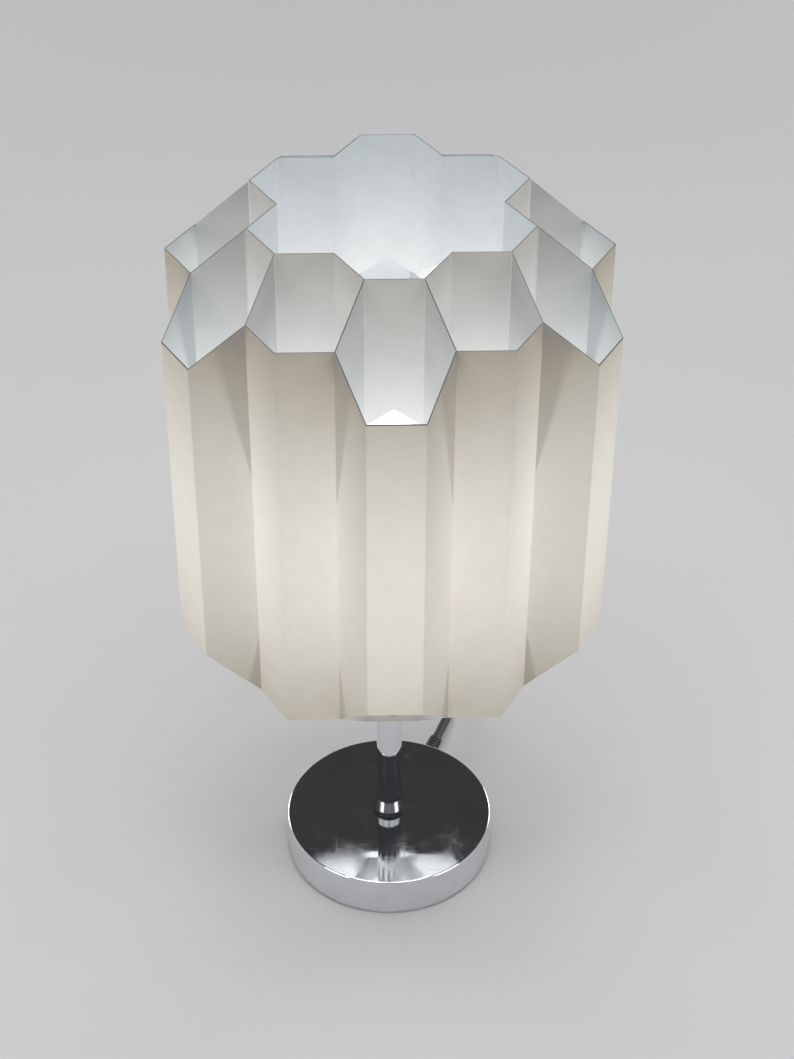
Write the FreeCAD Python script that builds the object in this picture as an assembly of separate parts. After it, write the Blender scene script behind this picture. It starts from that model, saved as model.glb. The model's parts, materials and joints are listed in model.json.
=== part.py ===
import FreeCAD, Part
import math
import os
from FreeCAD import Vector

os.makedirs("parts", exist_ok=True)

# Table lamp: a ring of twelve hexagonal paper cells round a lamp on a polished column.
# Millimetres. Z is up, the origin is under the middle of the base, and the front looks along -Y.

# Paper shade
cell_count = 6                # corner cells, with as many edge cells between them
panel_width = 30.0            # one side of a cell
paper = 0.5                   # thickness of the stiff paper
shade_height = 296.0          # inner walls, from the lower to the upper rim
end_slope = 45.0              # how steeply the cell ends fall away from the rim
window_inset = 88.0           # from the upper rim to the corners of the windows round the bulb
window_sill = 34.0            # from the lower rim to the windows' lower corners
window_slope = 35.0           # pitch of the gabled window edges
divider_slope = 46.0          # how steeply the dividers' edges run on out from those corners
shade_drop = 53.0             # from the carrier down to the lower rim

# Base
base_radius = 66.0
base_height = 29.0
cover_wall = 1.2
cover_crown = 1.75            # the polished top's middle stands this far above its edge
cover_edge = 1.2              # rounding of the polished edge
cover_lift = 1.0              # the cover's skirt stays this far off the table
pad_thickness = 3.0
pocket_radius = 38.0          # hollow under the weight, for the nut and the cord clamp
pocket_depth = 14.0
seat_gap = 0.3                # play between pieces that drop into one another
thread_gap = 0.05             # play between a thread and what runs on it

# Column
stem_radius = 8.0
stem_wall = 1.0
stem_length = 162.0
collar_radius = 9.7
collar_height = 11.0
collar_skirt = 3.2            # straight foot of the collar, under its cone
collar_neck = 8.4             # radius at its top
rod_radius = 5.0
rod_bore = 3.7
rod_tail = 1.0                # the rod's end below the nut
rod_grip = 10.0               # the rod's thread inside the lampholder
washer_radius = 14.0
washer_thickness = 1.5
nut_width = 17.0              # across flats
nut_thickness = 4.0

# Lampholder
holder_radius = 19.3
holder_wall = 2.0
holder_cap_height = 30.0
holder_foot = 1.5             # the cap's foot stands this far out from the column
holder_shoulder = 9.0         # height of the cap's cone
holder_floor = 4.0
holder_ledge = 1.0            # chamfer under the insert
boss_wall = 3.0               # round the rod's thread in the cap
skirt_height = 29.0
skirt_bore = 14.0
flange_radius = 23.0
flange_thickness = 3.0
flange_lift = 5.0             # from the skirt's lower end to its flange
insert_thickness = 10.0
insert_radius = 16.6
shell_wall = 0.5
shell_height = 26.0
ring_radius = 28.5            # shade ring
ring_foot = 2.5
ring_height = 9.5
ring_neck = 3.2               # wall of the ring's threaded neck
ring_notches = 12
ring_notch_radius = 1.2
terminal_offset = 8.0         # each terminal from the axis
terminal_radius = 2.0
terminal_height = 4.0         # terminal screws above the insert's lower face
terminal_root = 1.8           # from a core's centre to the end of its screw
terminal_sink = 1.4           # screw heads under the insert's side
core_socket_depth = 6.0
contact_width = 5.0
contact_strip = 0.5
contact_rise = 2.7

# Bulb
bulb_radius = 30.0
bulb_wall = 1.5
bulb_centre_height = 74.0     # globe's centre above the tip
bulb_cap_radius = 13.2
bulb_cap_height = 22.0
bulb_tip_height = 4.0
bulb_tip_radius = 4.8
bulb_tip_rim = 1.0
bulb_tip_step = 2.5           # the tip's cone ends this far inside the cap
bulb_collar_depth = 18.0      # the globe ends this far under its centre
bulb_collar_lip = 0.6         # the collar beyond the cap, and at its waist
bulb_collar_waist = 2.6
bulb_collar_waist_height = 8.0
contact_gap = 0.2             # tip above the spring strip at rest

# Shade carrier
carrier_thickness = 1.5
hub_radius = 30.0
arm_width = 8.0
arm_root = 2.0                # each arm reaches this far into the hub
arm_bend = 4.0                # from the hub's edge to where an arm turns down
foot_margin = 3.0             # from the lower rim to a foot
foot_clearance = 5.5          # from a foot to the window above it
rivet_radius = 1.5
rivet_head = 3.0
rivet_head_thickness = 0.8
rivet_spread = 7.0            # between a foot's two rivets
cutter_reach = 5.0            # cutting shapes run this far past what they cut

# Mains cord
cord_radius = 3.0
cord_heading = 68.0           # degrees from +X, where the cord leaves the base
cord_height = 9.0             # centre of the gland above the table
gland_radius = 5.0
gland_flange = 6.5
gland_flange_thickness = 2.0
gland_tail = 24.0
gland_tail_radius = 4.2
clamp_width = 22.0
clamp_depth = 8.0
clamp_reach = 36.0            # outer side of the clamp, from the axis
clamp_screw_radius = 1.5
clamp_screw_head = 2.8
clamp_screw_sink = 1.6
clamp_screw_bite = 6.0        # thread in the weight
sheath_end = 26.0             # where the outer sheath is stripped, from the axis
core_radius = 1.1
core_spread = 1.3             # each core from the middle of the rod
cord_rest = 3.1               # centre of the cord where it lies on the table
straight_start = 22.0         # the cord runs straight out of the gland and the switch
arc_share = 0.45              # part of a run that the arc at its end takes up
core_run = 7.0                # length of the cores' first two runs
core_drop = 5.0               # the cores pass this far under the rod
core_exit = 1.5               # and leave its top by this much
core_turn = 2.0               # they turn up to the terminals this far under the insert
core_end = 5.0                # and end this far inside it

# Coil of the spare cord
coil_middle = Vector(0.0, 290.0, 0.0)
coil_mean_radius = 32.0
coil_pitch = 6.6              # across the turns and from layer to layer
coil_turns = 6
coil_climb = 0.5              # turns over which it climbs to the upper layer

# Inline switch
switch_length = 66.0
switch_width = 26.0
switch_height = 15.0
switch_wall = 1.8
switch_corner = 9.0
switch_rounding = 2.0         # of its top and bottom edges
switch_spout = 7.0            # the round ends that grip the cord
switch_spout_radius = 5.0
switch_spout_rounding = 1.5
rocker_length = 17.0
rocker_width = 10.0
rocker_crown = 3.6            # top of the rocker above its pivot
rocker_shoulder = 2.4
rocker_depth = 3.0
rocker_tilt = 8.0
rocker_pin = 1.5
rocker_pin_length = 2.6
rocker_play = 0.45
pivot_height = 13.2
switch_screw_radius = 1.2
switch_screw_head = 2.2
switch_screw_place = 20.0
switch_screw_sink = 0.4       # screw heads inside the base
switch_screw_seat = 0.6       # thickness of a head above the base's floor
switch_screw_bite = 4.0
switch_post_wall = 1.0
bearing_half = 3.2            # half the width and depth of the rocker's bearings
table_play = 0.2              # moulded pieces on the cord lie just clear of the table

# Plug
plug_length = 34.0
plug_width = 25.0
plug_thickness = 13.6
plug_heel = 10.0              # width of the plug where the cord enters
plug_waist = 15.3             # from the cord to where the plug is full width
plug_rounding = 2.0
plug_pin_radius = 2.0
plug_pin_rounding = 1.0
plug_pin_length = 19.0
plug_sleeve_radius = 1.75     # the pins' insulated necks
plug_sleeve_length = 10.0
plug_pin_spread = 18.6
plug_pin_root = 8.0           # pin length inside the body
plug_root_radius = 2.6

# Levels that follow from the sizes above
cover_top = base_height
cover_rim = base_height - cover_crown
cover_inner_top = cover_rim - cover_wall
crown_radius = (base_radius ** 2 + cover_crown ** 2) / (2 * cover_crown)
weight_bottom = pad_thickness
pocket_roof = pad_thickness + pocket_depth
nut_top = pocket_roof - washer_thickness
rod_bottom = nut_top - nut_thickness - rod_tail
holder_bottom = base_height + stem_length
rod_top = holder_bottom + rod_grip
insert_top = holder_bottom + holder_cap_height
skirt_top = insert_top + skirt_height
flange_top = insert_top + flange_lift + flange_thickness
carrier_level = flange_top
tip_level = insert_top + contact_rise + contact_strip + contact_gap
bulb_level = tip_level + bulb_centre_height
cap_level = tip_level + bulb_tip_height
lower_rim = carrier_level - shade_drop
upper_rim = lower_rim + shade_height
window_top = upper_rim - window_inset
window_bottom = lower_rim + window_sill
row = panel_width * math.sqrt(3) / 2      # distance between rows of cell corners
module_turn = 360.0 / cell_count
slope_fall = math.tan(math.radians(end_slope))
gable_rise = math.tan(math.radians(window_slope))
foot_bottom = lower_rim + foot_margin
foot_top = window_bottom - gable_rise * panel_width / 2 - foot_clearance
foot_middle = (foot_bottom + foot_top) / 2
rivet_levels = (foot_middle - rivet_spread / 2, foot_middle + rivet_spread / 2)
panel_inside = -3 * row + paper / 2       # inner face of the front inner panel

up = Vector(0, 0, 1)
origin = Vector(0, 0, 0)


def save(shape, name):
    shape.exportStep("parts/" + name + ".step")
    print(name, len(shape.Solids), "solid, volume", round(shape.Volume, 1))


def turned(shape, angle):
    copy = shape.copy()
    copy.rotate(origin, up, angle)
    return copy


def placed(shape, position, angle):
    copy = turned(shape, angle)
    copy.translate(position)
    return copy


def cylinder(radius, low, high, x=0.0, y=0.0):
    return Part.makeCylinder(radius, high - low, Vector(x, y, low), up)


def block(x_low, x_high, y_low, y_high, z_low, z_high):
    corner = Vector(x_low, y_low, z_low)
    return Part.makeBox(x_high - x_low, y_high - y_low, z_high - z_low, corner)


def polygon_face(points):
    return Part.Face(Part.makePolygon(points + points[:1]))


def prism(points, low, high):
    flat = [Vector(point.x, point.y, low) for point in points]
    return polygon_face(flat).extrude(up * (high - low))


# A closed profile of radius and height pairs, turned about the lamp's axis.
def revolved(profile):
    face = polygon_face([Vector(radius, 0, height) for radius, height in profile])
    return face.revolve(origin, up, 360)


def outline_edges(shape, height, radius):
    found = []
    for edge in shape.Edges:
        box = edge.BoundBox
        level = abs(box.ZMin - height) < 1e-4 and abs(box.ZMax - height) < 1e-4
        if level and abs(box.XMax - radius) < 1e-4:
            found.append(edge)
    return found


# ---------------------------------------------------------------- paper shade

# A corner of the honeycomb, counted in half panels across and in rows out from the axis.
def corner(halves, rows):
    return Vector(halves * panel_width / 2, -rows * row, 0)


def mitre_point(before, point, after, offset):
    first = (point - before).normalize()
    second = (after - point).normalize()
    side = Vector(-first.y, first.x, 0) + Vector(-second.y, second.x, 0)
    length = offset / math.cos(first.getAngle(second) / 2)
    return point + side.normalize() * length


# Plan outline of a folded sheet along a line of corners. Neighbours beyond the ends set the
# mitres there; without one the sheet ends square.
def sheet_outline(points, before=None, after=None, thickness=paper):
    start = before if before else points[0] * 2 - points[1]
    end = after if after else points[-1] * 2 - points[-2]
    line = [start] + points + [end]
    outlines = []
    for offset in (thickness / 2, -thickness / 2):
        side = []
        for index in range(1, len(line) - 1):
            side.append(mitre_point(line[index - 1], line[index], line[index + 1], offset))
        outlines.append(side)
    return outlines[0] + outlines[1][::-1]


def sheet(points, low, high, before=None, after=None, thickness=paper):
    return prism(sheet_outline(points, before, after, thickness), low, high)


# Wall of one panel between two folds, kept only where the elevation outline lies.
def panel(points, elevation, before, after):
    start, end = points
    along = (end - start).normalize()
    across = Vector(-along.y, along.x, 0)
    outline = [start + along * place + up * height for place, height in elevation]
    outline = [point - across * panel_width / 2 for point in outline]
    keep = polygon_face(outline).extrude(across * panel_width)
    wall = sheet(points, lower_rim, upper_rim, before, after)
    return wall.common(keep)


inner_corners = [corner(-1, 3), corner(1, 3), corner(2, 2), corner(4, 2)]
inner_before = corner(-2, 2)
inner_after = corner(5, 1)
trough_corners = [corner(-1, 3), corner(-2, 4), corner(-1, 5), corner(1, 5), corner(2, 4), corner(1, 3)]
edge_corners = [corner(2, 4), corner(4, 4), corner(5, 3)]


# Band of inner wall for one sixth of the ring, from a rim to the gabled edge of the windows.
# The gables rise from the edge's corners by the given slope, and fall where it is negative.
def inner_band(rim, foot, rise):
    over = paper
    far = panel_width + over
    low = foot - over * rise
    middle = foot + panel_width / 2 * rise
    peak = foot + far * rise
    gable = [(-over, rim), (-over, low), (panel_width / 2, middle), (far, low), (far, rim)]
    rising = [(-over, rim), (-over, low), (far, peak), (far, rim)]
    falling = [(-over, rim), (-over, peak), (far, low), (far, rim)]
    line = [inner_before] + inner_corners + [inner_after]
    band = None
    for index, elevation in enumerate((gable, rising, falling)):
        wall = panel(line[index + 1:index + 3], elevation, line[index], line[index + 3])
        band = wall if band is None else band.fuse(wall)
    return band.removeSplitter()


# Elevation of a corner cell: both ends are cut on a slope that falls away from the rims.
def sloped_envelope():
    near = 2 * row
    far = 6 * row
    rise_near = (near - 3 * row) * slope_fall
    rise_far = (far - 3 * row) * slope_fall
    half = 2 * panel_width
    outline = [
        Vector(-half, -near, lower_rim + rise_near),
        Vector(-half, -near, upper_rim - rise_near),
        Vector(-half, -far, upper_rim - rise_far),
        Vector(-half, -far, lower_rim + rise_far),
    ]
    return polygon_face(outline).extrude(Vector(2 * half, 0, 0))


# Divider between two cells, open from the inner wall to the outer fold beside the bulb.
def divider(inner, outer, beyond):
    over = paper
    fall = math.tan(math.radians(divider_slope))
    start = -over
    end = panel_width + over
    top = window_top
    low = window_bottom
    upper = [(start, upper_rim), (start, top - start * fall), (end, top - end * fall), (end, upper_rim)]
    lower = [(start, lower_rim), (start, low + start * fall), (end, low + end * fall), (end, lower_rim)]
    walls = [panel([inner, outer], elevation, None, beyond) for elevation in (upper, lower)]
    return walls[0].fuse(walls[1])


# One sheet folded into two dividers and three outer walls.
def corner_cell():
    line = trough_corners
    outer = sheet(line[1:5], lower_rim, upper_rim, line[0], line[5])
    left = divider(line[0], line[1], line[2])
    right = divider(line[5], line[4], line[3])
    inner_wall = sheet([corner(-2, 2), corner(-1, 3), corner(1, 3), corner(2, 2)], lower_rim, upper_rim)
    cell = outer.fuse(left).fuse(right).common(sloped_envelope()).cut(inner_wall)
    return cell.removeSplitter()


def edge_wall():
    fall = row * slope_fall
    wall = sheet(edge_corners, lower_rim + fall, upper_rim - fall)
    trough = sheet(trough_corners, lower_rim, upper_rim)
    wall = wall.cut(trough)
    return wall.cut(turned(trough, module_turn))


# Rivets hold each foot of the carrier to the middle of an inner panel. Drawn for the front one.
def rivet_bore(level):
    start = Vector(0, panel_inside + cutter_reach, level)
    return Part.makeCylinder(rivet_radius + thread_gap, 2 * cutter_reach, start, Vector(0, -1, 0))


def build_shade():
    upper = inner_band(upper_rim, window_top, gable_rise)
    lower = inner_band(lower_rim, window_bottom, -gable_rise)
    for level in rivet_levels:
        lower = lower.cut(rivet_bore(level))
    cell = corner_cell()
    wall = edge_wall()
    for number in range(cell_count):
        angle = number * module_turn
        save(turned(cell, angle), "corner_cell_" + str(number + 1))
        save(turned(wall, angle), "edge_wall_" + str(number + 1))
        save(turned(upper, angle), "upper_band_" + str(number + 1))
        save(turned(lower, angle), "lower_band_" + str(number + 1))


# ---------------------------------------------------------------- shade carrier

# A flat bar that leaves the hub, slopes down and ends in an upright foot against the paper.
def carrier_arm():
    half = carrier_thickness / 2
    foot_reach = -panel_inside - half
    line = [
        Vector(hub_radius - arm_root, carrier_level + half, 0),
        Vector(hub_radius + arm_bend, carrier_level + half, 0),
        Vector(foot_reach, foot_top, 0),
        Vector(foot_reach, foot_bottom, 0),
    ]
    outline = sheet_outline(line, thickness=carrier_thickness)
    side = [Vector(-arm_width / 2, -point.x, point.y) for point in outline]
    return polygon_face(side).extrude(Vector(arm_width, 0, 0))


def build_carrier():
    top = carrier_level + carrier_thickness
    carrier = cylinder(hub_radius, carrier_level, top)
    arm = carrier_arm()
    for level in rivet_levels:
        arm = arm.cut(rivet_bore(level))
    for number in range(cell_count):
        carrier = carrier.fuse(turned(arm, number * module_turn))
    carrier = carrier.cut(cylinder(holder_radius + seat_gap, carrier_level, top))
    save(carrier.removeSplitter(), "shade_carrier")
    rivets = []
    inside = panel_inside + carrier_thickness
    outside = panel_inside - paper
    out = Vector(0, -1, 0)
    for level in rivet_levels:
        shank = Part.makeCylinder(rivet_radius, inside - outside, Vector(0, inside, level), out)
        inner_head = Part.makeCylinder(rivet_head, rivet_head_thickness, Vector(0, inside, level), out * -1)
        outer_head = Part.makeCylinder(rivet_head, rivet_head_thickness, Vector(0, outside, level), out)
        rivet = shank.fuse(inner_head).fuse(outer_head).removeSplitter()
        for number in range(cell_count):
            rivets.append(turned(rivet, number * module_turn))
    save(Part.makeCompound(rivets), "carrier_rivets")


# ---------------------------------------------------------------- base and column

def along_cord(shape):
    return turned(shape, cord_heading)


def radial_cylinder(radius, near, far, height):
    return Part.makeCylinder(radius, far - near, Vector(near, 0, height), Vector(1, 0, 0))


def build_base():
    cover = cylinder(base_radius, cover_lift, cover_top)
    cover = cover.common(Part.makeSphere(crown_radius, Vector(0, 0, cover_top - crown_radius)))
    cover = cover.makeFillet(cover_edge, outline_edges(cover, cover_rim, base_radius))
    cover = cover.cut(cylinder(base_radius - cover_wall, cover_lift, cover_inner_top))
    cover = cover.cut(cylinder(rod_radius + seat_gap, cover_inner_top, cover_top))
    beyond = base_radius + cutter_reach
    gland_hole = radial_cylinder(gland_radius + thread_gap, pocket_radius, beyond, cord_height)
    cover = cover.cut(along_cord(gland_hole))
    save(cover, "base_cover")

    weight_radius = base_radius - cover_wall - seat_gap
    weight = cylinder(weight_radius, weight_bottom, cover_inner_top)
    weight = weight.cut(cylinder(pocket_radius, weight_bottom, pocket_roof))
    weight = weight.cut(cylinder(rod_radius + seat_gap, pocket_roof, cover_inner_top))
    half = gland_radius + seat_gap
    channel = block(pocket_radius - cutter_reach, base_radius, -half, half, weight_bottom, cord_height + half)
    weight = weight.cut(along_cord(channel))
    bore_end = pocket_roof + clamp_screw_bite + seat_gap
    for side in (-1, 1):
        bore = cylinder(clamp_screw_radius + thread_gap, pocket_roof, bore_end,
                        clamp_reach - clamp_depth / 2, side * clamp_screw_place())
        weight = weight.cut(along_cord(bore))
    save(weight, "base_weight")

    save(cylinder(weight_radius, 0, pad_thickness), "base_pad")

    washer = cylinder(washer_radius, nut_top, pocket_roof)
    save(washer.cut(cylinder(rod_radius + seat_gap, nut_top, pocket_roof)), "base_washer")

    nut_corner = nut_width / math.sqrt(3)
    hexagon = [Vector(nut_corner, 0, 0)]
    for number in range(1, 6):
        angle = math.radians(60 * number)
        hexagon.append(Vector(nut_corner * math.cos(angle), nut_corner * math.sin(angle), 0))
    nut = prism(hexagon, nut_top - nut_thickness, nut_top)
    save(nut.cut(cylinder(rod_radius + thread_gap, nut_top - nut_thickness, nut_top)), "base_nut")


def clamp_screw_place():
    return cord_radius + (clamp_width / 2 - cord_radius) / 2


def build_cord_entry():
    outer = base_radius + gland_flange_thickness
    inner = pocket_radius + seat_gap
    neck = radial_cylinder(gland_radius, inner, outer, cord_height)
    flange = radial_cylinder(gland_flange, base_radius, outer, cord_height)
    tail_root = Vector(outer, 0, cord_height)
    tail = Part.makeCone(gland_radius, gland_tail_radius, gland_tail, tail_root, Vector(1, 0, 0))
    bore = radial_cylinder(cord_radius + thread_gap, inner, outer + gland_tail, cord_height)
    round_wall = cylinder(base_radius, cord_height - gland_flange, cord_height + gland_flange)
    flange = flange.cut(round_wall)
    gland = neck.fuse(flange).fuse(tail).removeSplitter().cut(bore)
    save(along_cord(gland), "cord_gland")

    middle = clamp_reach - clamp_depth / 2
    low = weight_bottom + seat_gap
    clamp = block(clamp_reach - clamp_depth, clamp_reach, -clamp_width / 2, clamp_width / 2, low, pocket_roof)
    cord_bore = radial_cylinder(cord_radius + thread_gap, clamp_reach - clamp_depth, clamp_reach, cord_height)
    clamp = clamp.cut(cord_bore)
    screw_end = pocket_roof + clamp_screw_bite
    screws = []
    for side in (-1, 1):
        y = side * clamp_screw_place()
        clamp = clamp.cut(cylinder(clamp_screw_radius + thread_gap, low, pocket_roof, middle, y))
        clamp = clamp.cut(cylinder(clamp_screw_head + thread_gap, low, low + clamp_screw_sink, middle, y))
        shank = cylinder(clamp_screw_radius, low + clamp_screw_sink, screw_end, middle, y)
        head = cylinder(clamp_screw_head, low, low + clamp_screw_sink, middle, y)
        screws.append(along_cord(shank.fuse(head).removeSplitter()))
    save(along_cord(clamp), "cord_clamp")
    save(Part.makeCompound(screws), "clamp_screws")
    inner_cord = radial_cylinder(cord_radius, sheath_end, outer + gland_tail, cord_height)
    save(along_cord(inner_cord), "inner_cord")


def build_column():
    tube = cylinder(stem_radius, cover_top, holder_bottom)
    save(tube.cut(cylinder(stem_radius - stem_wall, cover_top, holder_bottom)), "stem_tube")
    inner = stem_radius + thread_gap
    collar = revolved([
        (inner, cover_top),
        (collar_radius, cover_top),
        (collar_radius, cover_top + collar_skirt),
        (collar_neck, cover_top + collar_height),
        (inner, cover_top + collar_height),
    ])
    save(collar, "stem_collar")
    rod = cylinder(rod_radius, rod_bottom, rod_top)
    save(rod.cut(cylinder(rod_bore, rod_bottom, rod_top)), "threaded_rod")


# ---------------------------------------------------------------- lampholder

def build_lampholder():
    ledge = insert_top - insert_thickness
    inside = holder_radius - holder_wall
    thread = rod_radius + thread_gap
    boss = thread + boss_wall
    cap = revolved([
        (thread, holder_bottom),
        (stem_radius + holder_foot, holder_bottom),
        (holder_radius, holder_bottom + holder_shoulder),
        (holder_radius, insert_top),
        (inside, insert_top),
        (inside, ledge),
        (inside - holder_wall, ledge - holder_ledge),
        (inside - holder_wall, holder_bottom + holder_shoulder),
        (boss, holder_bottom + holder_floor),
        (boss, rod_top),
        (thread, rod_top),
    ])
    save(cap, "lampholder_cap")

    insert = cylinder(insert_radius, ledge, insert_top)
    screws = []
    for side in (-1, 1):
        socket = cylinder(core_radius + seat_gap, ledge, ledge + core_socket_depth, 0, side * terminal_offset)
        root = terminal_offset + terminal_root
        start = Vector(0, side * root, ledge + terminal_height)
        out = Vector(0, side, 0)
        bore = Part.makeCylinder(terminal_radius + thread_gap, insert_radius, start, out)
        screw = Part.makeCylinder(terminal_radius, insert_radius - terminal_sink - root, start, out)
        insert = insert.cut(along_cord(socket)).cut(along_cord(bore))
        screws.append(along_cord(screw))
    save(insert, "lampholder_insert")
    save(Part.makeCompound(screws), "terminal_screws")

    skirt = revolved([
        (skirt_bore, insert_top),
        (holder_radius, insert_top),
        (holder_radius, insert_top + flange_lift),
        (flange_radius, insert_top + flange_lift),
        (flange_radius, flange_top),
        (holder_radius, flange_top),
        (holder_radius, skirt_top),
        (skirt_bore, skirt_top),
    ])
    save(skirt, "lampholder_skirt")

    shell_bore = bulb_cap_radius + thread_gap
    shell = cylinder(shell_bore + shell_wall, insert_top, insert_top + shell_height)
    save(shell.cut(cylinder(shell_bore, insert_top, insert_top + shell_height)), "screw_shell")

    save(contact_spring(), "centre_contact")

    low = carrier_level + carrier_thickness
    ring_bore = holder_radius + thread_gap
    neck = ring_bore + ring_neck
    ring = revolved([
        (ring_bore, low),
        (ring_radius, low),
        (ring_radius, low + ring_foot),
        (neck, low + ring_foot),
        (neck, low + ring_height),
        (ring_bore, low + ring_height),
    ])
    for number in range(ring_notches):
        notch = cylinder(ring_notch_radius, low + ring_foot, low + ring_height, neck, 0)
        ring = ring.cut(turned(notch, number * 360.0 / ring_notches))
    save(ring, "shade_ring")


# A bent strip that stands on the insert and reaches up to the tip of the bulb.
def contact_spring():
    top = insert_top + contact_rise
    half = contact_width
    profile = [
        Vector(-2 * half, 0, insert_top),
        Vector(-half, 0, insert_top),
        Vector(-half / 2, 0, top),
        Vector(half / 2, 0, top),
        Vector(half / 2, 0, top + contact_strip),
        Vector(-half / 2 - contact_strip, 0, top + contact_strip),
        Vector(-half - contact_strip, 0, insert_top + contact_strip),
        Vector(-2 * half, 0, insert_top + contact_strip),
    ]
    strip = polygon_face(profile).extrude(Vector(0, contact_width, 0))
    strip.translate(Vector(0, -contact_width / 2, 0))
    return strip


# ---------------------------------------------------------------- bulb

def ball_profile(radius, low, high):
    start = math.asin((low - bulb_level) / radius)
    end = math.asin(min(1.0, (high - bulb_level) / radius))
    middle = (start + end) / 2
    points = []
    for angle in (start, middle, end):
        points.append(Vector(radius * math.cos(angle), 0, bulb_level + radius * math.sin(angle)))
    return Part.Arc(*points).toShape(), points[0], points[-1]


def build_bulb():
    seam = bulb_level - bulb_collar_depth
    inner_radius = bulb_radius - bulb_wall
    outer_arc, outer_low, outer_top = ball_profile(bulb_radius, seam, bulb_level + bulb_radius)
    inner_arc, inner_low, inner_top = ball_profile(inner_radius, seam, bulb_level + inner_radius)
    joins = [
        Part.LineSegment(outer_top, inner_top).toShape(),
        Part.LineSegment(inner_low, outer_low).toShape(),
    ]
    outline = Part.Wire(Part.__sortEdges__([outer_arc, inner_arc] + joins))
    save(Part.Face(outline).revolve(origin, up, 360), "bulb_globe")

    shoulder = cap_level + bulb_cap_height
    collar = revolved([
        (0, shoulder),
        (bulb_cap_radius + bulb_collar_lip, shoulder),
        (bulb_cap_radius + bulb_collar_waist, shoulder + bulb_collar_waist_height),
        (outer_low.x, seam),
        (0, seam),
    ])
    save(collar, "bulb_collar")

    cap = cylinder(bulb_cap_radius, cap_level, shoulder)
    save(cap, "bulb_cap")

    tip = revolved([
        (0, tip_level),
        (bulb_tip_radius, tip_level),
        (bulb_tip_radius, tip_level + bulb_tip_rim),
        (bulb_cap_radius - bulb_tip_step, cap_level),
        (0, cap_level),
    ])
    save(tip, "bulb_tip")


# ---------------------------------------------------------------- cords

# Straight runs joined by arcs that touch both runs. The radius follows from the shorter run.
def route_wire(points, name):
    edges = []
    radii = []
    start = points[0]
    for index in range(1, len(points) - 1):
        point = points[index]
        coming = point - points[index - 1]
        leaving = points[index + 1] - point
        reach = arc_share * min(coming.Length, leaving.Length)
        coming.normalize()
        leaving.normalize()
        half_turn = coming.getAngle(leaving) / 2
        radius = reach / math.tan(half_turn)
        radii.append(round(radius, 1))
        inward = (leaving - coming).normalize()
        middle = point + inward * radius * (1 / math.cos(half_turn) - 1)
        first = point - coming * reach
        last = point + leaving * reach
        edges.append(Part.LineSegment(start, first).toShape())
        edges.append(Part.Arc(first, middle, last).toShape())
        start = last
    edges.append(Part.LineSegment(start, points[-1]).toShape())
    print(name, "bend radii", radii)
    return Part.Wire(edges)


def swept(wire, radius, direction):
    start = wire.Vertexes[0].Point
    ring = Part.Wire(Part.Circle(start, direction, radius).toShape())
    return wire.makePipeShell([ring], True, False)


def tube(points, radius, name):
    wire = route_wire(points, name)
    solid = swept(wire, radius, points[1] - points[0])
    expected = math.pi * radius ** 2 * wire.Length
    print(name, "length", round(wire.Length, 1), "volume ratio", round(solid.Volume / expected, 4))
    return solid


def cord_point(reach, side, height):
    heading = math.radians(cord_heading)
    x = reach * math.cos(heading) - side * math.sin(heading)
    y = reach * math.sin(heading) + side * math.cos(heading)
    return Vector(x, y, height)


# Two cores from the stripped sheath, through the pocket and the rod, to the terminals.
def build_cores():
    cores = []
    pocket_run = rod_bottom - core_drop
    ledge = insert_top - insert_thickness
    for side in (-1, 1):
        near = side * core_spread
        far = side * terminal_offset
        points = [
            cord_point(sheath_end, near, cord_height),
            cord_point(sheath_end - core_run, near, cord_height),
            cord_point(sheath_end - 2 * core_run, near, pocket_run),
            cord_point(0, near, pocket_run),
            cord_point(0, near, rod_top + core_exit),
            cord_point(0, far, ledge - core_turn),
            cord_point(0, far, ledge + core_end),
        ]
        cores.append(tube(points, core_radius, "core"))
    save(Part.makeCompound(cores), "lead_wires")


# Centre line of the coil: it winds in on the table, climbs in half a turn and winds out on top.
def coil_place(turns_done):
    half = coil_turns / 2
    widest = coil_mean_radius + coil_pitch * half / 2
    distance = abs(turns_done - half)
    if distance < coil_climb / 2:
        distance = coil_climb / 4 + distance ** 2 / coil_climb
    radius = widest - coil_pitch * (half - distance)
    share = min(1.0, max(0.0, (turns_done - half) / coil_climb + 0.5))
    height = cord_rest + coil_pitch * (1 - math.cos(math.pi * share)) / 2
    angle = math.pi + 2 * math.pi * turns_done
    return coil_middle + Vector(radius * math.cos(angle), radius * math.sin(angle), height)


def coil_heading(turns_done):
    step = 1e-4
    return (coil_place(turns_done + step) - coil_place(turns_done - step)).normalize()


def arc_between(start, control, end):
    chord_middle = (start + end) / 2
    half_chord = (end - start).Length / 2
    half_angle = math.acos(min(1.0, half_chord / (control - start).Length))
    rise = half_chord * math.tan(half_angle / 2)
    middle = chord_middle + (control - chord_middle).normalize() * rise
    return Part.Arc(start, middle, end).toShape()


# Two arcs that leave and arrive along the given headings.
def two_arcs(start, start_heading, end, end_heading):
    chord = end - start
    both = start_heading + end_heading
    a = 2 * (start_heading.dot(end_heading) - 1)
    b = -2 * chord.dot(both)
    c = chord.dot(chord)
    root = math.sqrt(b * b - 4 * a * c)
    reach = max((-b + root) / (2 * a), (-b - root) / (2 * a))
    first = start + start_heading * reach
    second = end - end_heading * reach
    join = (first + second) / 2
    return [arc_between(start, first, join), arc_between(join, second, end)]


def coil_ends():
    stub = 2 * cord_radius
    first_heading = Vector(0, -1, 0)
    start = coil_place(0) - first_heading * stub
    end = coil_place(coil_turns) + first_heading * stub
    return start, end


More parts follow.
